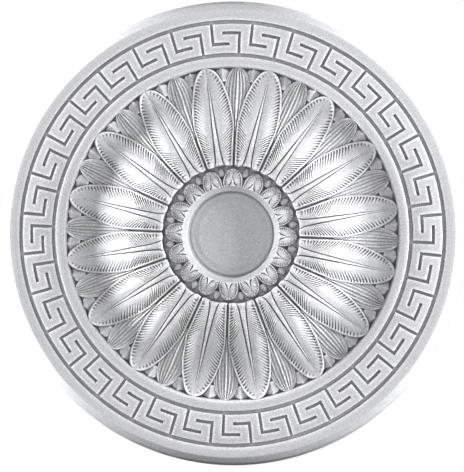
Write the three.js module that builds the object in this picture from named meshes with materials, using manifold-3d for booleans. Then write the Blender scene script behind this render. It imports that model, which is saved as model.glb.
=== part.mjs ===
// Ceiling rose, moulded in one piece, with a key border round a dish of leaves and a raised
// rosette at its centre. It is modelled as it hangs, face down. The origin is the middle of its
// flat back, which is glued to the ceiling at z = 0, and a depth is measured down from there.
// Angles run from -Y towards +X, which is clockwise for someone looking up at the rose.

import * as THREE from "three";
import Module from "manifold-3d";
import { mergeVertices } from "three/addons/utils/BufferGeometryUtils.js";

const wasm = await Module();
wasm.setup();

// Driving dimensions, in millimetres
const roseRadius = 300;
const edgeDepth = 6;
const rimWidth = 13;
const faceDepth = 24;
const ringInnerRadius = 214.4;
const ringRound = 2;
const ringDraft = 2.6;

const keyRadius = 250.4;
const keyPitch = 14;
const channelWidth = 4.4;
const channelDepth = 4;
const channelDraft = 0.8;

const valleyRadius = 192;
const valleyDepth = 15.5;
const crestRadius = 108;
const crestDepth = 39;
const leafBaseRadius = 88.6;
const leafTipRadius = 214.2;
const leafTipRise = 5.5;
const leafWidestRadius = 142;
const leafEndLength = 4;
const leafEndDrop = 5;
const leafRoot = 5;
const tipHalfWidth = 2;
const ribTipRadius = 196;
const ribBaseHalfWidth = 6;
const ribTipHalfWidth = 1;
const backLeafBaseRadius = 131;
const backLeafWidestRadius = 186;
const backLeafHalfWidth = 17;
const backLeafRidgeDrop = 3;
const backLeafEdgeDrop = 5.5;
const cornerTipRadii = [197, 213];
const cornerTipHalfWidths = [9, 3.2];
const cornerTipDrop = 3.6;

const dishDepth = 9;
const gapDepth = 17;
const gapSlope = 6;
const petalTipRadius = 84.8;
const petalTipDepth = 29;
const petalRound = 3;
const notchOpening = 8;
const notchHalfWidths = [0.7, 6.5];
const lipRadius = 62.5;
const lipDepth = 35;
const lipCrown = 1.5;
const lipInnerWidth = 4;
const seatRadius = 40;
const seatDepth = 15;
const seatFilletWidth = 10;
const seatFilletHeight = 3;

// How far each column of a big leaf lies below its middle line, and where the margin starts, as
// a share of the half width: margin, blade, groove, rib, groove, blade, margin
const leafColumnDrops = [4.5, 0.3, 1.2, -0.6, 1.2, 0.3, 4.5];
const leafMarginShare = 0.84;
const ribWidestShare = 0.4;

// How far a tool or a hidden edge runs on past what it meets
const overlap = 1;

// Counts and turns, in degrees
const ringSegments = 64;
const dishSegments = 32;
const leafCount = 16;
const leafPitch = 360 / leafCount;
const leafAngle = 13.5;
const keyCount = 32;
const keyAngle = 5.85;
const slotHalfAngle = 0.6;
const channelRun = 5.1;
const returnTurn = 7.85;

const rose = new THREE.Group();
const foam = new THREE.MeshStandardMaterial({ color: 0xe9eaed, roughness: 0.6, metalness: 0 });

// A closed mesh as a solid that can be joined and cut, without the empty triangles at a pole
function toSolid(geometry) {
  geometry.deleteAttribute("normal");
  geometry.deleteAttribute("uv");
  const merged = mergeVertices(geometry, 1e-4);
  const corners = Array.from(merged.index.array);
  const triVerts = [];
  for (let i = 0; i < corners.length; i += 3) {
    const [a, b, c] = corners.slice(i, i + 3);
    if (a !== b && b !== c && c !== a) triVerts.push(a, b, c);
  }
  const vertProperties = new Float32Array(merged.attributes.position.array);
  const mesh = new wasm.Mesh({ numProp: 3, vertProperties, triVerts: new Uint32Array(triVerts) });
  return new wasm.Manifold(mesh);
}

function toGeometry(solid) {
  const mesh = solid.getMesh();
  const geometry = new THREE.BufferGeometry();
  geometry.setAttribute("position", new THREE.BufferAttribute(mesh.vertProperties, 3));
  geometry.setIndex(new THREE.BufferAttribute(mesh.triVerts, 1));
  geometry.computeVertexNormals();
  return geometry;
}

// A point of the face, from its radius, its turn in radians and its depth below the ceiling
function facePoint(radius, turn, depth) {
  return new THREE.Vector3(radius * Math.sin(turn), -radius * Math.cos(turn), -depth);
}

// Profile points of a groove cut into the face, from its outer edge to its inner one
function grooveProfile(radius) {
  const half = channelWidth / 2;
  const floor = faceDepth - channelDepth;
  return [
    [radius + half, faceDepth],
    [radius + half - channelDraft, floor],
    [radius - half + channelDraft, floor],
    [radius - half, faceDepth],
  ];
}

// Quarter of an ellipse from the upright edge in to the flat border
function rimProfile() {
  const steps = 2;
  const points = [];
  for (let i = 0; i <= steps; i += 1) {
    const turn = (i / steps) * (Math.PI / 2);
    const radius = roseRadius - rimWidth * (1 - Math.cos(turn));
    points.push([radius, edgeDepth + (faceDepth - edgeDepth) * Math.sin(turn)]);
  }
  return points;
}

// A form turned round the rose's axis from a profile of radii and depths
function turned(profile, segments) {
  const points = profile.map(([radius, depth]) => new THREE.Vector2(radius, -depth)).reverse();
  return toSolid(new THREE.LatheGeometry(points, segments).rotateX(Math.PI / 2));
}

// The outer ring: rim, flat border, two grooves with the key band between, and inner ring
function outerRing() {
  const hidden = [ringInnerRadius - ringDraft, 0];
  const profile = [
    hidden,
    [roseRadius, 0],
    ...rimProfile(),
    ...grooveProfile(keyRadius + 1.5 * keyPitch),
    ...grooveProfile(keyRadius - 1.5 * keyPitch),
    [ringInnerRadius + ringRound, faceDepth],
    [ringInnerRadius, faceDepth - ringRound],
    [ringInnerRadius - ringDraft, dishDepth - overlap],
    hidden,
  ];
  return turned(profile, ringSegments);
}

// The dish floor under the leaves, the deep gap round the rosette, its lip and the lamp's seat
function dish() {
  const dishRadius = ringInnerRadius - overlap;
  const profile = [
    [0, 0],
    [dishRadius, 0],
    [dishRadius, dishDepth],
    [valleyRadius, dishDepth],
    [leafBaseRadius + gapSlope, gapDepth],
    [petalTipRadius, gapDepth],
    [petalTipRadius, petalTipDepth],
    [petalTipRadius - petalRound, petalTipDepth + petalRound],
    [lipRadius, lipDepth],
    [lipRadius - lipInnerWidth, lipDepth - lipCrown],
    [seatRadius + seatFilletWidth, seatDepth + seatFilletHeight],
    [seatRadius, seatDepth],
    [0, seatDepth],
  ];
  return turned(profile, dishSegments);
}

// One L of the key border, as the tool that sinks it. Its leg runs from a groove over the middle
// of the band, and its foot then follows the rose for `run` degrees.
function keyTool(turn, legRadius, footRadius, run) {
  const side = Math.sign(footRadius - legRadius) * (channelWidth / 2);
  const lean = Math.sign(run) * slotHalfAngle;
  const corners = [
    [legRadius, turn - lean],
    [legRadius, turn + lean],
    [footRadius - side, turn + lean],
    [footRadius - side, turn + run],
    [footRadius + side, turn + run],
    [footRadius + side, turn - lean],
  ];
  const points = corners.map(([radius, angle]) => {
    const point = facePoint(radius, THREE.MathUtils.degToRad(angle), 0);
    return new THREE.Vector2(point.x, point.y);
  });
  const depth = channelDepth + overlap;
  const tool = new THREE.ExtrudeGeometry(new THREE.Shape(points), { depth, bevelEnabled: false });
  return toSolid(tool.translate(0, 0, -(faceDepth + overlap)));
}

function keyTools() {
  const channels = [1.5, 0.5, -0.5, -1.5].map((step) => keyRadius + step * keyPitch);
  const [outerGroove, outerChannel, innerChannel, innerGroove] = channels;
  const tools = [];
  for (let k = 0; k < keyCount; k += 1) {
    const turn = keyAngle + (k * 360) / keyCount;
    tools.push(keyTool(turn, outerGroove, innerChannel, channelRun));
    tools.push(keyTool(turn + returnTurn, innerGroove, outerChannel, -channelRun));
  }
  return tools;
}

// A leaf-like solid: a box whose columns spread to the leaf's outline, whose rows run outward
// and whose lower face follows `lowerAt(radius, column)`. `columnsAt(radius)` gives the places
// of the columns across the half width, from -1 to 1.
function blade({ angle, radii, columnsAt, halfWidthAt, lowerAt, upperAt = () => leafRoot }) {
  const last = columnsAt(radii[0]).length - 1;
  const box = new THREE.BoxGeometry(2, 2, 2, last, radii.length - 1, 1);
  const position = box.attributes.position;
  for (let i = 0; i < position.count; i += 1) {
    const column = Math.round(((position.getX(i) + 1) / 2) * last);
    const row = Math.round(((position.getY(i) + 1) / 2) * (radii.length - 1));
    const radius = radii[row];
    const across = columnsAt(radius)[column] * halfWidthAt(radius);
    const turn = THREE.MathUtils.degToRad(angle) + across / radius;
    const depth = position.getZ(i) > 0 ? lowerAt(radius, column) : upperAt(radius);
    position.setXYZ(i, ...facePoint(radius, turn, depth));
  }
  return toSolid(box);
}

// Radii from one to another, closing up towards the outer end
function rowRadii(inner, outer, rows) {
  return Array.from({ length: rows + 1 }, (_, i) => {
    return inner + (outer - inner) * Math.sin((i / rows) * (Math.PI / 2));
  });
}

// Half the width of a blade that is widest at `widest` and closes in a round point at `tip`
function ogive(radius, widest, tip, half) {
  const along = Math.max(0, (radius - widest) / (tip - widest));
  return half * Math.sqrt(Math.max(0, 1 - along ** 3)) + tipHalfWidth;
}

// Depth of the leaves' backs along the middle: flat crest, long fall to the valley, raised tip
function leafDepth(radius) {
  const fall = THREE.MathUtils.smoothstep(radius, crestRadius, valleyRadius);
  const curl = Math.max(0, (radius - valleyRadius) / (leafTipRadius - valleyRadius));
  return crestDepth - (crestDepth - valleyDepth) * fall + leafTipRise * curl ** 2;
}

// Half the width of a big leaf, which fills its sector near the base
function bigLeafHalfWidth(radius) {
  const sector = THREE.MathUtils.degToRad(leafPitch / 2);
  const outline = ogive(radius, leafWidestRadius, leafTipRadius, leafWidestRadius * sector);
  return Math.min(outline, radius * sector + 0.2);
}

// Half the width of a big leaf's rib, which narrows outward
function ribHalfWidth(radius) {
  const ends = [leafBaseRadius, ribTipRadius, ribBaseHalfWidth, ribTipHalfWidth];
  return Math.max(ribTipHalfWidth, THREE.MathUtils.mapLinear(radius, ...ends));
}

// A big leaf: cut-down margins, two pillowed halves and a rib between two grooves
function bigLeaf(angle) {
  return blade({
    angle,
    radii: [leafBaseRadius, ...rowRadii(leafBaseRadius + leafEndLength, leafTipRadius, 6)],
    columnsAt: (radius) => {
      const rib = Math.min(ribWidestShare, ribHalfWidth(radius) / bigLeafHalfWidth(radius));
      return [-1, -leafMarginShare, -rib, 0, rib, leafMarginShare, 1];
    },
    halfWidthAt: bigLeafHalfWidth,
    lowerAt: (radius, column) => {
      const end = radius === leafBaseRadius ? leafEndDrop : 0;
      return leafDepth(radius) - end - leafColumnDrops[column];
    },
  });
}

// A leaf of the second row, ridged along its middle and seen between two big ones
function backLeaf(angle) {
  const drops = [backLeafEdgeDrop, backLeafRidgeDrop, backLeafEdgeDrop];
  return blade({
    angle,
    radii: rowRadii(backLeafBaseRadius, leafTipRadius, 3),
    columnsAt: () => [-1, 0, 1],
    halfWidthAt: (radius) => {
      return ogive(radius, backLeafWidestRadius, leafTipRadius, backLeafHalfWidth);
    },
    lowerAt: (radius, column) => leafDepth(radius) - drops[column],
  });
}

// The small tip that fills the corner between two leaves and the ring
function cornerTip(angle) {
  return blade({
    angle,
    radii: cornerTipRadii,
    columnsAt: () => [-1, 1],
    halfWidthAt: (radius) => cornerTipHalfWidths[cornerTipRadii.indexOf(radius)],
    lowerAt: (radius) => leafDepth(radius) - cornerTipDrop,
  });
}

// The tool that parts two petals of the rosette: a slit from the lip outward that opens between
// their round tips, and that stops above the gap's floor
function petalNotch(angle) {
  const opening = petalTipRadius - notchOpening;
  const floors = [lipRadius, petalTipRadius, lipDepth, gapDepth + 3 * overlap];
  return blade({
    angle,
    radii: [lipRadius + overlap, opening, petalTipRadius + 2 * overlap],
    columnsAt: () => [-1, 1],
    halfWidthAt: (radius) => notchHalfWidths[radius > opening ? 1 : 0],
    lowerAt: () => crestDepth + overlap,
    upperAt: (radius) => THREE.MathUtils.mapLinear(radius, ...floors),
  });
}

function ceilingRose() {
  let solid = outerRing().add(dish());
  for (const tool of keyTools()) solid = solid.subtract(tool);
  for (let k = 0; k < leafCount; k += 1) {
    const onLeaf = leafAngle + k * leafPitch;
    const between = onLeaf + leafPitch / 2;
    const pieces = [bigLeaf(onLeaf), backLeaf(between)];
    pieces.push(cornerTip(onLeaf + leafPitch / 4), cornerTip(onLeaf - leafPitch / 4));
    for (const piece of pieces) solid = solid.add(piece);
    solid = solid.subtract(petalNotch(onLeaf));
  }
  return solid;
}

const mesh = new THREE.Mesh(toGeometry(ceilingRose()), foam);
mesh.name = "ceiling_rose";
rose.add(mesh);

export default rose;
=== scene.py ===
import math

import bmesh
import bpy
from mathutils import Matrix, Vector, noise


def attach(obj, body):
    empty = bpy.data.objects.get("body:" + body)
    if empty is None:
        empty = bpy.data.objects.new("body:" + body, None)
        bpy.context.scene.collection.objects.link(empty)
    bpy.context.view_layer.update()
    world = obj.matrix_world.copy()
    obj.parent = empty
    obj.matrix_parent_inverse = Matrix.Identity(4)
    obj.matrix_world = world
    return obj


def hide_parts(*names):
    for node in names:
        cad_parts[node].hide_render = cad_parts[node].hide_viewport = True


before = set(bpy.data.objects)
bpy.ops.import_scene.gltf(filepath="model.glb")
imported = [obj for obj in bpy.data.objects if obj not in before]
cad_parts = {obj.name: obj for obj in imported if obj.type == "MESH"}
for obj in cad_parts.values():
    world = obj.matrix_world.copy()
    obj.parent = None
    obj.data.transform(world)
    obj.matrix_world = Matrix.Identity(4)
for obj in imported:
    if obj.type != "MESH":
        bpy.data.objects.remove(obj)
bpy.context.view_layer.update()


# The blank of the rose: flat back, rounded rim, flat border, inner ring, dish floor, gap, lip
# and lamp seat, in white foam. It is turned lying on its back, in millimetres and face up, and
# the ornament is joined on before the whole moulding is turned over and hung.
rose_radius = 300
face_height = 24
back_fillet = 0.5
rim_edge_height = 7
rim_edge_fillet = 4
rim_shoulder_width = 4.4
rim_shoulder_height = 17.5
rim_shoulder_fillet = 7
rim_width = 12.5
rim_fillet = 3
ring_inner_radius = 215.2
ring_fillet = 2.2
ring_wall_lean = 2.4
ring_foot_height = 9.5
valley_radius = 192
valley_height = 15.5
crest_radius = 108
crest_height = 39
leaf_tip_radius = 215.6
leaf_tip_rise = 6
leaf_base_radius = 88.6
floor_radii = (208, 200, 186, 168, 150, 132, 114, 96)
floor_drop = 6
pit_drop = 3.5
pit_start, pit_end = 190, 206
gap_height = 17
gap_fillet = 1.5
gap_wall_inset = 0.6
gap_wall_lean = 1.4
gap_wall_drop = 7
petal_tip_radius = 85
core_inset = 0.4
core_foot_width = 2.2
core_foot_rise = 2
core_top_width = 8.5
core_top_drop = 8
lip_radius = 63
lip_height = 35.6
lip_fillet = 2.5
lip_side_width = 3.5
lip_side_drop = 2
lip_side_fillet = 2
lip_slope_width = 7.4
lip_slope_drop = 4
lip_slope_fillet = 1.2
seat_height = 15
seat_wall_lean = 1.8
seat_trough_depth = 2.5
seat_trough_width = 5.3
seat_rise_width = 6
seat_fillet = 3
longest_fillet_reach = 0.45
fillet_steps = 3
turned_steps = 128
merge_distance = 0.001


def smoothstep(value, low, high):
    share = min(1, max(0, (value - low) / (high - low)))
    return share * share * (3 - 2 * share)


def leaf_height(radius):
    """Height of the leaves' middle line: level at the crest, falling to the valley, curled up."""
    fall = smoothstep(radius, crest_radius, valley_radius)
    curl = max(0, (radius - valley_radius) / (leaf_tip_radius - valley_radius))
    return crest_height - (crest_height - valley_height) * fall + leaf_tip_rise * curl**2


def rounded(corners):
    """Points of a profile whose corners are (radius, height, fillet), with the fillets drawn."""
    points = []
    for i, (radius, height, fillet) in enumerate(corners):
        corner = Vector((radius, height))
        if not fillet:
            points.append(corner)
            continue
        before = Vector(corners[i - 1][:2]) - corner
        after = Vector(corners[i + 1][:2]) - corner
        reach = fillet / math.tan(before.angle(after) / 2)
        reach = min(reach, longest_fillet_reach * min(before.length, after.length))
        start = corner + before.normalized() * reach
        end = corner + after.normalized() * reach
        for k in range(fillet_steps + 1):
            t = k / fillet_steps
            points.append(start * (1 - t) ** 2 + corner * 2 * t * (1 - t) + end * t * t)
    return points


key_radius = 251
key_pitch = 14.1
channel_half = 2.4
channel_floor_half = 1.9
channel_depth = 4
channel_edge_fillet = 0.8
channel_floor_fillet = 0.7
outer_groove_radius = key_radius + 1.5 * key_pitch
inner_groove_radius = key_radius - 1.5 * key_pitch


def groove_corners(radius):
    floor = face_height - channel_depth
    return [
        (radius + channel_half, face_height, channel_edge_fillet),
        (radius + channel_floor_half, floor, channel_floor_fillet),
        (radius - channel_floor_half, floor, channel_floor_fillet),
        (radius - channel_half, face_height, channel_edge_fillet),
    ]


def floor_corners():
    """The dish floor, a step below the leaves all the way in from the ring."""
    corners = []
    for radius in floor_radii:
        sunk = floor_drop + pit_drop * smoothstep(radius, pit_start, pit_end)
        corners.append((radius, leaf_height(radius) - sunk, 0))
    return corners


def turned_blank():
    """The profile from the middle of the back, round the rim and in to the seat, spun round."""
    gap_wall_foot = leaf_base_radius + gap_wall_inset
    core_foot = petal_tip_radius - core_inset
    seat_wall_top = lip_radius - lip_slope_width
    seat_wall_foot = seat_wall_top - seat_wall_lean
    trough_height = seat_height - seat_trough_depth
    trough_edge = seat_wall_foot - seat_trough_width
    corners = [
        (0, 0, 0),
        (rose_radius, 0, back_fillet),
        (rose_radius, rim_edge_height, rim_edge_fillet),
        (rose_radius - rim_shoulder_width, rim_shoulder_height, rim_shoulder_fillet),
        (rose_radius - rim_width, face_height, rim_fillet),
        *groove_corners(outer_groove_radius),
        *groove_corners(inner_groove_radius),
        (ring_inner_radius, face_height, ring_fillet),
        (ring_inner_radius - ring_wall_lean, ring_foot_height, 0),
        *floor_corners(),
        (gap_wall_foot + gap_wall_lean, crest_height - gap_wall_drop, 0),
        (gap_wall_foot, gap_height, gap_fillet),
        (core_foot, gap_height, gap_fillet),
        (core_foot - core_foot_width, gap_height + core_foot_rise, 0),
        (lip_radius + core_top_width, lip_height - core_top_drop, 0),
        (lip_radius + lip_side_width, lip_height - lip_side_drop, lip_side_fillet),
        (lip_radius, lip_height, lip_fillet),
        (seat_wall_top, lip_height - lip_slope_drop, lip_slope_fillet),
        (seat_wall_foot, trough_height, 0),
        (trough_edge, trough_height, seat_fillet),
        (trough_edge - seat_rise_width, seat_height, seat_fillet),
        (0, seat_height, 0),
    ]
    bench = bmesh.new()
    verts = [bench.verts.new((p.x, 0, p.y)) for p in rounded(corners)]
    edges = [bench.edges.new(pair) for pair in zip(verts, verts[1:])]
    bmesh.ops.spin(
        bench, geom=verts + edges, cent=(0, 0, 0), axis=(0, 0, 1),
        angle=math.tau, steps=turned_steps, use_merge=True,
    )
    bmesh.ops.remove_doubles(bench, verts=bench.verts, dist=merge_distance)
    bmesh.ops.recalc_face_normals(bench, faces=bench.faces)
    return bench


def workpiece(name, bench):
    """Makes an object of what is on the bench, just as it lies there."""
    mesh = bpy.data.meshes.new(name)
    bench.to_mesh(mesh)
    bench.free()
    piece = bpy.data.objects.new(name, mesh)
    bpy.context.scene.collection.objects.link(piece)
    return piece


def combine(piece, other, operation):
    """Joins another workpiece on or cuts it away, and puts it off the bench."""
    cut = piece.modifiers.new("combine", "BOOLEAN")
    cut.operation = operation
    cut.object = other
    cut.solver = "MANIFOLD"
    bpy.context.view_layer.objects.active = piece
    bpy.ops.object.modifier_apply(modifier=cut.name)
    bpy.data.objects.remove(other)


rose = workpiece("moulded_rose", turned_blank())


# The key border: a ribbon of the same foam that runs round the rose, left standing between the
# two turned grooves where sixty-four L shaped channels are cut in from the face. Each channel has
# steep sides and a bevelled upper edge.
key_count = 32
key_start = math.radians(5.78)
channel_run = math.radians(5.1)
return_turn = math.radians(7.85)
bevel_width = 0.6
tool_clearance = 0.9
tool_taper = 0.2
leg_overlap = 1
foot_steps = 5


def bench_point(radius, turn, height):
    return Vector((radius * math.sin(turn), radius * math.cos(turn), height))


def close_on_bench(bench, verts, root):
    """Drops a wall from a sheet's edge and closes it below."""
    sheet = set(verts)
    rim = [e for e in bench.edges if e.is_boundary and e.verts[0] in sheet and e.verts[1] in sheet]
    wall = bmesh.ops.extrude_edge_only(bench, edges=rim)["geom"]
    for vert in wall:
        if isinstance(vert, bmesh.types.BMVert):
            vert.co.z = root
    bmesh.ops.contextual_create(bench, geom=[e for e in wall if isinstance(e, bmesh.types.BMEdge)])


def key_tool(bench, turn, leg_radius, foot_radius, run):
    """One channel as a solid cutter: its leg crosses the band and its foot follows the rose."""
    half = channel_half + bevel_width
    inward = math.copysign(1, foot_radius - leg_radius)
    forward = math.copysign(1, run)
    leg_end = leg_radius - inward * (half - leg_overlap)
    near, far = foot_radius - inward * half, foot_radius + inward * half
    foot_end = run + forward * bevel_width / foot_radius

    def leg_side(radius, side):
        return radius, side * forward * half / radius

    corners = [leg_side(leg_end, -1), leg_side(leg_end, 1), leg_side(near, 1)]
    shares = [k / foot_steps for k in range(1, foot_steps + 1)]
    bend = half / foot_radius * forward
    corners += [(near, bend + (foot_end - bend) * share) for share in shares]
    corners += [(far, bend + (foot_end - bend) * share) for share in reversed(shares)]
    corners += [leg_side(far, 1), leg_side(far, -1)]
    top = face_height + bevel_width
    verts = [bench.verts.new(bench_point(r, turn + a, top)) for r, a in corners]
    lid = bench.faces.new(verts)
    lid.normal_update()
    if lid.normal.z > 0:
        lid.normal_flip()
    close_on_bench(bench, verts, top + tool_clearance)
    bevel = (2 * bevel_width, 2 * bevel_width)
    shaft = (tool_taper, channel_depth - bevel_width)
    for width, depth in (bevel, shaft):
        bmesh.ops.inset_region(
            bench, faces=[lid], thickness=width, depth=depth, use_even_offset=True,
        )


def key_tools():
    bench = bmesh.new()
    outer_foot = key_radius + key_pitch / 2
    inner_foot = key_radius - key_pitch / 2
    for k in range(key_count):
        turn = key_start + k * math.tau / key_count
        key_tool(bench, turn, outer_groove_radius, inner_foot, channel_run)
        key_tool(bench, turn + return_turn, inner_groove_radius, outer_foot, -channel_run)
    bmesh.ops.recalc_face_normals(bench, faces=bench.faces)
    return bench


combine(rose, workpiece("key_tools", key_tools()), "DIFFERENCE")


# The sixteen big leaves, joined on in the same foam: long blades that nearly fill the dish, each
# with a raised bead along its edge, a rib between two veins, and fine barbs that run in from the
# bead in three lobes.
leaf_count = 16
leaf_pitch = math.tau / leaf_count
leaf_start = math.radians(13.5)
leaf_root = 6
leaf_gap = 1.7
leaf_widest_radius = 142
leaf_widest_half = 26.8
leaf_end_fullness = 0.45
rib_tip_radius = 198
rib_tip_half = 0.9
rib_growth = 3.9
rib_flare = 2.4
rib_flare_length = 3.5
barb_pitch = 3.85
barb_samples = 3
first_barb_inset = 7
last_barb_radius = 208
leaf_tip_rows = 9
leaf_unevenness = 0.35
leaf_unevenness_size = 9

# Each lobe of barbs, from the base out: its first and last radius, and the barbs' reach at each
barb_lobes = ((96, 140, 6, 16), (141, 169, 9, 15), (169, 209, 14.5, 4.5))


def leaf_half_width(radius):
    out = max(0, (radius - leaf_widest_radius) / (leaf_tip_radius - leaf_widest_radius))
    outline = leaf_widest_half * max(0, 1 - out**2) ** leaf_end_fullness
    return min(outline, radius * leaf_pitch / 2 - leaf_gap / 2)


def leaf_rib_half(radius):
    """A rib that widens steadily inward and flares at the leaf's foot."""
    growth = rib_growth * max(0, (rib_tip_radius - radius) / (rib_tip_radius - leaf_base_radius))
    flare = rib_flare * math.exp((leaf_base_radius - radius) / rib_flare_length)
    return rib_tip_half + growth + flare


def leaf_barb_reach(radius):
    """How far the barbs run in from the bead. It jumps where one lobe ends and the next starts."""
    for start, end, first_reach, last_reach in barb_lobes:
        if radius <= end:
            return first_reach + (last_reach - first_reach) * smoothstep(radius, start, end)
    return last_reach


base_shares = (0, 0.04, 0.12, 0.24, 0.42, 0.62, 0.82)
blade_shares = (0, 0.28, 0.48, 0.64, 0.77, 0.89, 1)
bead_shares = (0.35, 0.65, 0.9, 1)
rib_rises = (1, 0.8, 0.1)
rib_shoulder = 0.6
widest_bead, widest_rib, widest_vein = 0.3, 0.5, 0.3
swing_lead = 0.2
swell_skew = 0.8
bead_edge_drop = 0.9
barb_bead_share = 0.85
barb_roundness = 2.2
barb_fade = 0.6
barb_sink = 0.75
barb_overlap = 0.05
outline_steps = 160
tolerance = 0.01


def leaf_rows(base, first_barb, last_barb, tip, pitch, tip_rows):
    """Radii of a leaf's rows: close at its base, a few to each barb, and close at its tip."""
    steps = round((last_barb - first_barb) / pitch * barb_samples)
    lead = first_barb - base
    rows = [base + lead * share for share in base_shares]
    rows += [first_barb + k * pitch / barb_samples for k in range(steps + 1)]
    rest = tip - rows[-1]
    turns = [k / tip_rows * math.pi / 2 for k in range(1, tip_rows + 1)]
    return rows + [rows[-1] + rest * math.sin(turn) for turn in turns]


def carved_leaf(bench, rows, first_barb, half_width, rib_half, barb_reach, height, form):
    """A blade with bead, rib, veins and barbs, as a closed solid standing on the bench."""
    vein_column = len(rib_rises)
    columns = 2 * (vein_column + len(blade_shares) + len(bead_shares))
    middle = columns // 2
    base, tip = rows[0], rows[-1]
    turns = [k / outline_steps * math.pi / 2 for k in range(outline_steps + 1)]
    samples = [base + (tip - base) * math.sin(turn) for turn in turns]
    outline = [Vector((r, max(half_width(r), form["tip_half"]))) for r in samples]
    made = bmesh.ops.create_grid(bench, x_segments=columns, y_segments=len(rows) - 1, size=1)
    for vert in made["verts"]:
        column = round((vert.co.x + 1) / 2 * columns) - middle
        row = round((vert.co.y + 1) / 2 * (len(rows) - 1))
        edge_radius = rows[row]

        # Where this point lies across the leaf: on the rib, in a vein, on the blade or the bead
        width = max(half_width(edge_radius), form["tip_half"])
        bead = min(form["bead"], widest_bead * width)
        inner = width - bead
        rib = min(rib_half(edge_radius), widest_rib * inner)
        vein = min(form["vein_half"], widest_vein * rib)
        blade = [rib + vein + (inner - rib - vein) * share for share in blade_shares]
        places = [0, rib_shoulder * rib, rib - vein, rib, *blade]
        places += [inner + bead * share for share in bead_shares]
        across = places[abs(column)]

        # The rows swing inward towards the rib, so that the barbs slope
        lean = form["lean"] * smoothstep(edge_radius, base, base + form["lean_start"])
        swing_start, swing_end = -swing_lead * form["swing"], form["swing"]
        swing = smoothstep(max(0, inner - across), swing_start, swing_end)
        radius = edge_radius - lean * (swing - smoothstep(0, swing_start, swing_end))

        # The bead follows the distance to the leaf's outline, and the leaf falls off to its sides
        near = [p for p in outline if abs(p.x - radius) < 3 * form["bead"]]
        inset = min((p - Vector((radius, across))).length for p in near)
        if row < len(rows) // 2:
            inset = min(inset, max(width - across, 0))
        share = min(1, inset / form["bead"])
        swell = math.sin(math.pi * share**swell_skew) - bead_edge_drop * (1 - share) ** 4
        rise = form["bead_rise"] * swell
        rise -= form["crown_drop"] * (across / form["widest"]) ** 2

        # The rib and its veins fade out towards the tip, and the blade swells between
        fade = smoothstep(form["rib_end"] - radius, 0, form["rib_fade"])
        if abs(column) < vein_column:
            rise += fade * form["rib_rise"] * rib_rises[abs(column)]
        elif abs(column) == vein_column:
            rise -= fade * form["vein_depth"]
        else:
            blade_share = min(1, (across - rib) / (inner - rib))
            flat = smoothstep(tip - radius, 0, form["lean_start"])
            rise += form["pillow"] * flat * math.sin(math.pi * blade_share**swell_skew)

        # The barbs are strongest beside the bead and fade out towards the rib
        reach = barb_reach(edge_radius)
        barb_inset = inset - barb_bead_share * form["bead"]
        barbed = abs(column) > vein_column and edge_radius > first_barb - tolerance
        if barbed and -barb_overlap < barb_inset < reach:
            phase = ((edge_radius - first_barb) / form["barb_pitch"]) % 1
            ridge = 1 - abs(2 * phase - 1) ** barb_roundness
            strength = (1 - barb_inset / reach) ** barb_fade
            rise += form["barb_height"] * strength * (ridge - barb_sink)

        # The foot of the leaf is rounded down, and each of its halves ends in a shallow curve
        out = base + form["end_round"] - radius
        if out > 0:
            rise -= form["end_drop"] * (1 - math.sqrt(1 - min(1, out / form["end_round"]) ** 2))
        scallop = math.sin(math.pi * min(1, max(0, (across - rib) / (width - rib))))
        scallop *= form["scallop"] * (1 - smoothstep(radius, base, base + form["lean_start"] / 3))
        turn = math.copysign(across, column) / radius
        vert.co = bench_point(radius - scallop, turn, height(radius) + rise)
    close_on_bench(bench, made["verts"], form["root"])


def repeat_round(bench, count, start):
    """Turns what is on the bench to its first place and repeats it round the rose."""
    bmesh.ops.rotate(
        bench, verts=bench.verts, cent=(0, 0, 0), matrix=Matrix.Rotation(-start, 3, "Z")
    )
    bmesh.ops.spin(
        bench, geom=bench.verts[:] + bench.edges[:] + bench.faces[:], cent=(0, 0, 0),
        axis=(0, 0, 1), angle=math.tau * (count - 1) / count, steps=count - 1,
        use_duplicate=True,
    )
    bmesh.ops.recalc_face_normals(bench, faces=bench.faces)


def weather(bench, root, amount, spread):
    """Small unevenness of the pattern the mould was taken from."""
    for vert in bench.verts:
        if vert.co.z > root + tolerance:
            vert.co.z += amount * noise.noise(vert.co / spread)


# The big leaf's carving. Its rows lean in by "lean" over the width "swing", its rib ends at the
# radius "rib_end", and its foot is rounded down by "end_drop" over "end_round".
big_leaf_form = {
    "tip_half": 1.6, "bead": 3.4, "vein_half": 0.8, "lean": 14, "lean_start": 34, "swing": 18,
    "rib_end": 199, "rib_fade": 10, "crown_drop": 2.6, "widest": 26, "rib_rise": 1.1,
    "vein_depth": 1.9, "pillow": 1.5, "barb_height": 2.5, "barb_pitch": barb_pitch,
    "bead_rise": 1.4, "end_round": 1.6, "end_drop": 2.4, "scallop": 1.2, "root": leaf_root,
}


def big_leaves():
    bench = bmesh.new()
    first_barb = leaf_base_radius + first_barb_inset
    rows = leaf_rows(
        leaf_base_radius, first_barb, last_barb_radius, leaf_tip_radius,
        barb_pitch, leaf_tip_rows,
    )
    carved_leaf(
        bench, rows, first_barb,
        leaf_half_width, leaf_rib_half, leaf_barb_reach, leaf_height, big_leaf_form,
    )
    repeat_round(bench, leaf_count, leaf_start)
    weather(bench, leaf_root, leaf_unevenness, leaf_unevenness_size)
    return bench


combine(rose, workpiece("big_leaves", big_leaves()), "UNION")


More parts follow.
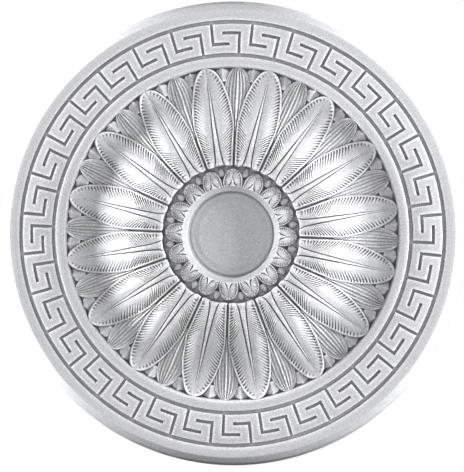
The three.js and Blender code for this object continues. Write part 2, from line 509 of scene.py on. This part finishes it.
# The sixteen leaves behind, joined on between the big ones and showing only there. Each is foam
# too, with a middle ridge and straight ribs that draw together towards its base.
back_leaf_base = 132
back_leaf_widest = 180
back_leaf_half = 18
back_leaf_neck_radius = 110
back_leaf_neck = 0.35
back_leaf_tip_half = 1.2
back_leaf_tip_gap = 0.4
back_leaf_tip_slope = 1.2
back_leaf_drop = 2.6
back_leaf_crown = 2.6
back_leaf_ribs = 4
back_rib_rise = 0.85
back_rib_start, back_rib_full = 1.5, 5
back_ridge_rise = 0.7
back_ridge_share = 0.07
back_bead_rise = 1.2
back_bead_inset = 1
back_bead_fall, back_bead_end = 1.2, 2.6
back_edge_drop = 0.6
back_leaf_columns = 32
back_leaf_rows = 14
back_leaf_unevenness = 0.4
back_leaf_unevenness_size = 7


def back_leaf_half_width(radius):
    if radius < back_leaf_widest:
        spread = smoothstep(radius, back_leaf_neck_radius, back_leaf_widest)
        return back_leaf_half * (back_leaf_neck + (1 - back_leaf_neck) * spread)
    out = (radius - back_leaf_widest) / (leaf_tip_radius - back_leaf_widest)
    return max(back_leaf_tip_half, back_leaf_half * max(0, 1 - out**2) ** leaf_end_fullness)


def back_leaves():
    bench = bmesh.new()
    made = bmesh.ops.create_grid(
        bench, x_segments=back_leaf_columns, y_segments=back_leaf_rows, size=1,
    )
    length = leaf_tip_radius - back_leaf_tip_gap - back_leaf_base
    for vert in made["verts"]:
        radius = back_leaf_base + length * math.sin((vert.co.y + 1) / 2 * math.pi / 2)
        width = back_leaf_half_width(radius)
        share = vert.co.x
        tip_inset = back_leaf_tip_slope * (leaf_tip_radius - radius)
        inset = min(width * (1 - abs(share)), tip_inset)
        ribs = math.cos(math.tau * back_leaf_ribs * share)
        ribs *= smoothstep(inset, back_rib_start, back_rib_full)
        ridge = math.exp(-((share / back_ridge_share) ** 2))
        bead = (back_bead_rise + back_edge_drop) * smoothstep(inset, 0, back_bead_inset)
        bead -= back_bead_rise * smoothstep(inset, back_bead_fall, back_bead_end) + back_edge_drop
        level = leaf_height(radius) - back_leaf_drop - back_leaf_crown * share**2
        level += back_rib_rise * ribs + back_ridge_rise * ridge + bead
        vert.co = bench_point(radius, share * width / radius, level)
    close_on_bench(bench, made["verts"], leaf_root)
    repeat_round(bench, leaf_count, leaf_start + leaf_pitch / 2)
    weather(bench, leaf_root, back_leaf_unevenness, back_leaf_unevenness_size)
    return bench


combine(rose, workpiece("back_leaves", back_leaves()), "UNION")


# The thirty-two small tips of a third row, of foam and joined on, one in each corner between two
# leaves and the ring. Each shows as a kite with a ridge along it, and leaves a pit on either side
# of its point.
corner_base = 197
corner_shoulder = 210.8
corner_tip = 214.8
corner_half = 8.6
corner_point_half = 0.6
corner_drop = 2.2
corner_slope = 3.6
corner_point_drop = 0.6
tip_segments = 6


def corner_tips():
    bench = bmesh.new()
    made = bmesh.ops.create_grid(
        bench, x_segments=tip_segments, y_segments=tip_segments, size=1,
    )
    for vert in made["verts"]:
        radius = corner_base + (corner_tip - corner_base) * (vert.co.y + 1) / 2
        narrowing = max(0, (radius - corner_shoulder) / (corner_tip - corner_shoulder))
        width = corner_half - (corner_half - corner_point_half) * narrowing
        share = vert.co.x
        level = leaf_height(radius) - corner_drop - corner_slope * abs(share)
        level -= corner_point_drop * narrowing**2
        vert.co = bench_point(radius, share * width / radius, level)
    close_on_bench(bench, made["verts"], leaf_root)
    repeat_round(bench, 2 * leaf_count, leaf_start + leaf_pitch / 4)
    return bench


combine(rose, workpiece("corner_tips", corner_tips()), "UNION")


# The rosette: sixteen short round petals of foam that lean out from the lip, carved like the
# leaves and joined on, with the tips of sixteen more between them, low in the gap.
petal_base = 61.5
petal_widest = 68
petal_widest_half = 12.4
petal_gap = 0.9
petal_root = gap_height - 3
petal_rise = 0.3
petal_crown = 1.4
petal_crown_rate = 1.5
petal_fall = 6.5
petal_rib_radius = 75.5
petal_rib_tip_half = 0.5
petal_rib_growth = 4.6
petal_barb_pitch = 2.6
petal_barb_length = 7
petal_barb_inset = 2.4
petal_tip_rows = 5
petal_unevenness = 0.3
petal_unevenness_size = 5


def petal_half_width(radius):
    side = radius * leaf_pitch / 2 - petal_gap / 2
    out = max(0, (radius - petal_widest) / (petal_tip_radius - petal_widest))
    return min(side, petal_widest_half * math.sqrt(max(0, 1 - out**2)))


def petal_rib_half(radius):
    growth = max(0, (petal_rib_radius - radius) / (petal_rib_radius - petal_base))
    return petal_rib_tip_half + petal_rib_growth * growth


def petal_barb_reach(radius):
    """The petals' barbs are all of one length, wherever they start."""
    return petal_barb_length


def petal_height(radius):
    out = max(0, radius - petal_base) / (petal_tip_radius - petal_base)
    crown = petal_crown * math.sin(math.pi * min(1, petal_crown_rate * out))
    return lip_height + petal_rise + crown - petal_fall * out**2


petal_form = {
    "tip_half": 1, "bead": 2, "vein_half": 0.9, "lean": 4, "lean_start": 8, "swing": 8,
    "rib_end": 77, "rib_fade": 2, "crown_drop": 1.2, "widest": 12, "rib_rise": 0.9,
    "vein_depth": 2.6, "pillow": 1, "barb_height": 1.2, "barb_pitch": petal_barb_pitch,
    "bead_rise": 1.7, "end_round": 0.8, "end_drop": 0.7, "scallop": 0, "root": petal_root,
}


def petals():
    bench = bmesh.new()
    first_barb = petal_base + petal_barb_inset
    last_barb = petal_tip_radius - petal_barb_inset
    rows = leaf_rows(
        petal_base, first_barb, last_barb, petal_tip_radius, petal_barb_pitch, petal_tip_rows,
    )
    carved_leaf(
        bench, rows, first_barb,
        petal_half_width, petal_rib_half, petal_barb_reach, petal_height, petal_form,
    )
    repeat_round(bench, leaf_count, leaf_start + leaf_pitch / 2)
    weather(bench, petal_root, petal_unevenness, petal_unevenness_size)
    return bench


low_tip_inner = 75
low_tip_outer = 87
low_tip_half = 5
low_tip_taper = 0.8
low_tip_point_half = 0.4
low_tip_height = 30
low_tip_fall = 4
low_tip_slope = 2.4


def petal_tips():
    """The ridged points that show between the petals."""
    bench = bmesh.new()
    made = bmesh.ops.create_grid(
        bench, x_segments=tip_segments, y_segments=tip_segments, size=1,
    )
    for vert in made["verts"]:
        along = (vert.co.y + 1) / 2
        share = vert.co.x
        radius = low_tip_inner + (low_tip_outer - low_tip_inner) * along
        width = low_tip_half * (1 - along) ** low_tip_taper + low_tip_point_half
        level = low_tip_height - low_tip_fall * along**2 - low_tip_slope * abs(share)
        vert.co = bench_point(radius, share * width / radius, level)
    close_on_bench(bench, made["verts"], petal_root)
    repeat_round(bench, leaf_count, leaf_start)
    return bench


combine(rose, workpiece("petals", petals()), "UNION")
combine(rose, workpiece("petal_tips", petal_tips()), "UNION")


# The finished moulding, turned face down and hung from its flat back. The foam has a white skin,
# finely grained and speckled, with painted shade in the grooves and a painted highlight on its
# edges.
skin_colour = (0.61, 0.615, 0.63, 1)
# Painted shade: this dark grey is laid into the grooves and hollows of the foam's colour.
painted_shade_colour = (0.11, 0.11, 0.12, 1)
speckle_colour = (0.35, 0.355, 0.37, 1)
# Painted highlight: this near white is laid along the convex edges.
painted_highlight_colour = (0.98, 0.98, 0.985, 1)
skin_roughness = 0.5
skin_samples = 8
# How far, and over what range, the painted edge highlight reaches.
painted_highlight_reach = 0.0055
painted_highlight_range = (0.95, 0.6)
# How far, and over what range of openness, the painted groove shade reaches.
painted_shade_reach = 0.006
painted_shade_range = (0.86, 0.35)
grain_scale = 620
grain_detail = 4
grain_roughness = 0.7
grain_strength = 0.6
grain_depth = 0.0012
speckle_range = (0.42, 0.72)
sharp_edge = math.radians(40)


def scaled(nodes, links, source, least, most):
    """An amount from 0 where the source is least to 1 where it is most."""
    scale = nodes.new("ShaderNodeMapRange")
    scale.inputs["From Min"].default_value = least
    scale.inputs["From Max"].default_value = most
    links.new(source, scale.inputs["Value"])
    return scale.outputs["Result"]


def nearness(nodes, links, inside, reach):
    """How open the place is: to the air outside or, measured inside, to the foam behind it."""
    around = nodes.new("ShaderNodeAmbientOcclusion")
    around.samples = skin_samples
    around.only_local = True
    around.inside = inside
    around.inputs["Distance"].default_value = reach
    return around.outputs["AO"]


def tinted(nodes, links, amount, below, colour):
    """A colour laid over another, or over the skin's own, by an amount."""
    tint = nodes.new("ShaderNodeMix")
    tint.data_type = "RGBA"
    tint.inputs["A"].default_value = skin_colour
    if below:
        links.new(below, tint.inputs["A"])
    tint.inputs["B"].default_value = colour
    links.new(amount, tint.inputs["Factor"])
    return tint.outputs["Result"]


def foam_skin():
    skin = bpy.data.materials.new("white_foam_skin")
    skin.use_nodes = True
    nodes, links = skin.node_tree.nodes, skin.node_tree.links
    shader = nodes["Principled BSDF"]
    shader.inputs["Roughness"].default_value = skin_roughness
    # Painted highlight: convex edges, found by occlusion measured inside, get a whiter colour.
    edges = scaled(nodes, links, nearness(nodes, links, True, painted_highlight_reach), *painted_highlight_range)
    # Painted shade: grooves and hollows, found by occlusion outside, get a darker colour.
    painted_shade_amount = scaled(nodes, links, nearness(nodes, links, False, painted_shade_reach), *painted_shade_range)
    place = nodes.new("ShaderNodeTexCoord")
    grain = nodes.new("ShaderNodeTexNoise")
    grain.inputs["Scale"].default_value = grain_scale
    grain.inputs["Detail"].default_value = grain_detail
    grain.inputs["Roughness"].default_value = grain_roughness
    links.new(place.outputs["Object"], grain.inputs["Vector"])
    speckles = scaled(nodes, links, grain.outputs["Fac"], *speckle_range)
    # Painted highlight is laid over the skin colour along the edges.
    colour = tinted(nodes, links, edges, None, painted_highlight_colour)
    colour = tinted(nodes, links, speckles, colour, speckle_colour)
    # Painted shade is laid over the colour in the grooves and hollows.
    colour = tinted(nodes, links, painted_shade_amount, colour, painted_shade_colour)
    links.new(colour, shader.inputs["Base Color"])
    bump = nodes.new("ShaderNodeBump")
    bump.inputs["Strength"].default_value = grain_strength
    bump.inputs["Distance"].default_value = grain_depth
    links.new(grain.outputs["Fac"], bump.inputs["Height"])
    links.new(bump.outputs["Normal"], shader.inputs["Normal"])
    return skin


metres_in_millimetre = 0.001
to_metres = Matrix.Scale(metres_in_millimetre, 4)
face_down = Matrix.Rotation(math.pi, 4, "X")
rose.data.transform(to_metres @ face_down)
rose.data.shade_smooth()
rose.data.set_sharp_from_angle(angle=sharp_edge)
rose.data.materials.clear()
rose.data.materials.append(foam_skin())

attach(rose, "root")
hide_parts("ceiling_rose")


# The studio, which isn't part of the rose: a pale floor far below, a surround that is white
# overhead and pale at the horizon, and soft lights low on both sides of the face, one in front
# and one for the back. The camera looks up at the face, nearly straight.
face_middle = (0, 0, -0.02)
back_middle = (0, 0, 0)


def soft_light(name, place, aim, size, power):
    lamp = bpy.data.lights.new(name, "AREA")
    lamp.shape = "RECTANGLE"
    lamp.size, lamp.size_y = size
    lamp.energy = power
    light = bpy.data.objects.new(name, lamp)
    light.location = place
    light.rotation_euler = (Vector(aim) - Vector(place)).to_track_quat("-Z", "Y").to_euler()
    bpy.context.scene.collection.objects.link(light)


soft_light("left_light", (-1.475, -0.26, -0.08), face_middle, (0.8, 0.3), 77)
soft_light("right_light", (1.475, -0.26, -0.08), face_middle, (1.3, 0.3), 51)
soft_light("right_upper_light", (1.4, -0.25, -0.47), face_middle, (0.5, 0.3), 18)
soft_light("front_light", (0, 0, -2.7), back_middle, (1, 1), 41)
soft_light("back_light", (0.9, -0.7, 1.6), back_middle, (1.6, 1.6), 48)

white = (1, 1, 1, 1)
surround_light = 0.04
white_heights = (0.2, 0.8)
horizon_paleness = 0.5

world = bpy.data.worlds.new("surround")
bpy.context.scene.world = world
world.use_nodes = True
world_nodes, world_links = world.node_tree.nodes, world.node_tree.links
surround = world_nodes["Background"]
surround.inputs["Color"].default_value = white
surround.inputs["Strength"].default_value = surround_light
seen = world_nodes.new("ShaderNodeBackground")
seen.inputs["Color"].default_value = white
toward = world_nodes.new("ShaderNodeTexCoord")
upward = world_nodes.new("ShaderNodeSeparateXYZ")
whitening = world_nodes.new("ShaderNodeMapRange")
whitening.inputs["From Min"].default_value = white_heights[0]
whitening.inputs["From Max"].default_value = white_heights[1]
whitening.inputs["To Min"].default_value = horizon_paleness
world_links.new(toward.outputs["Generated"], upward.inputs["Vector"])
world_links.new(upward.outputs["Z"], whitening.inputs["Value"])
world_links.new(whitening.outputs["Result"], seen.inputs["Strength"])
path = world_nodes.new("ShaderNodeLightPath")
blend = world_nodes.new("ShaderNodeMixShader")
world_links.new(path.outputs["Is Camera Ray"], blend.inputs["Fac"])
world_links.new(surround.outputs["Background"], blend.inputs[1])
world_links.new(seen.outputs["Background"], blend.inputs[2])
world_links.new(blend.outputs["Shader"], world_nodes["World Output"].inputs["Surface"])

floor_half = 200
floor_level = -3.2
floor_colour = (0.3, 0.3, 0.3, 1)
floor_seen_colour = (0.62, 0.62, 0.63, 1)
floor_roughness = 0.9

sheet = bmesh.new()
bmesh.ops.create_grid(sheet, x_segments=1, y_segments=1, size=floor_half)
bmesh.ops.translate(sheet, verts=sheet.verts, vec=(0, 0, floor_level))
floor = workpiece("floor", sheet)
paint = bpy.data.materials.new("pale_floor")
paint.use_nodes = True
paint_nodes, paint_links = paint.node_tree.nodes, paint.node_tree.links
floor_shader = paint_nodes["Principled BSDF"]
floor_shader.inputs["Base Color"].default_value = floor_colour
floor_shader.inputs["Roughness"].default_value = floor_roughness
floor_shader.inputs["Emission Color"].default_value = floor_seen_colour
floor_path = paint_nodes.new("ShaderNodeLightPath")
paint_links.new(floor_path.outputs["Is Camera Ray"], floor_shader.inputs["Emission Strength"])
floor.data.materials.append(paint)

picture_height = 472
radius_in_picture = 233
lens = 135
sensor = 36
rim_level = -0.012
aim_offset = (0.0003, 0.0024)
camera_offset = (0.13, -0.05)

camera_data = bpy.data.cameras.new("camera")
camera_data.lens = lens
camera_data.sensor_width = sensor
camera = bpy.data.objects.new("camera", camera_data)
seen_height = picture_height / radius_in_picture * rose_radius * metres_in_millimetre
camera_distance = seen_height * lens / sensor
aim = Vector((*aim_offset, rim_level))
camera.location = aim + Vector((*camera_offset, -camera_distance))
view = (aim - camera.location).normalized()
side = view.cross(Vector((0, -1, 0))).normalized()
camera.rotation_euler = Matrix((side, side.cross(view), -view)).transposed().to_euler()
bpy.context.scene.collection.objects.link(camera)
bpy.context.scene.camera = camera
bpy.context.scene.view_settings.view_transform = "Standard"
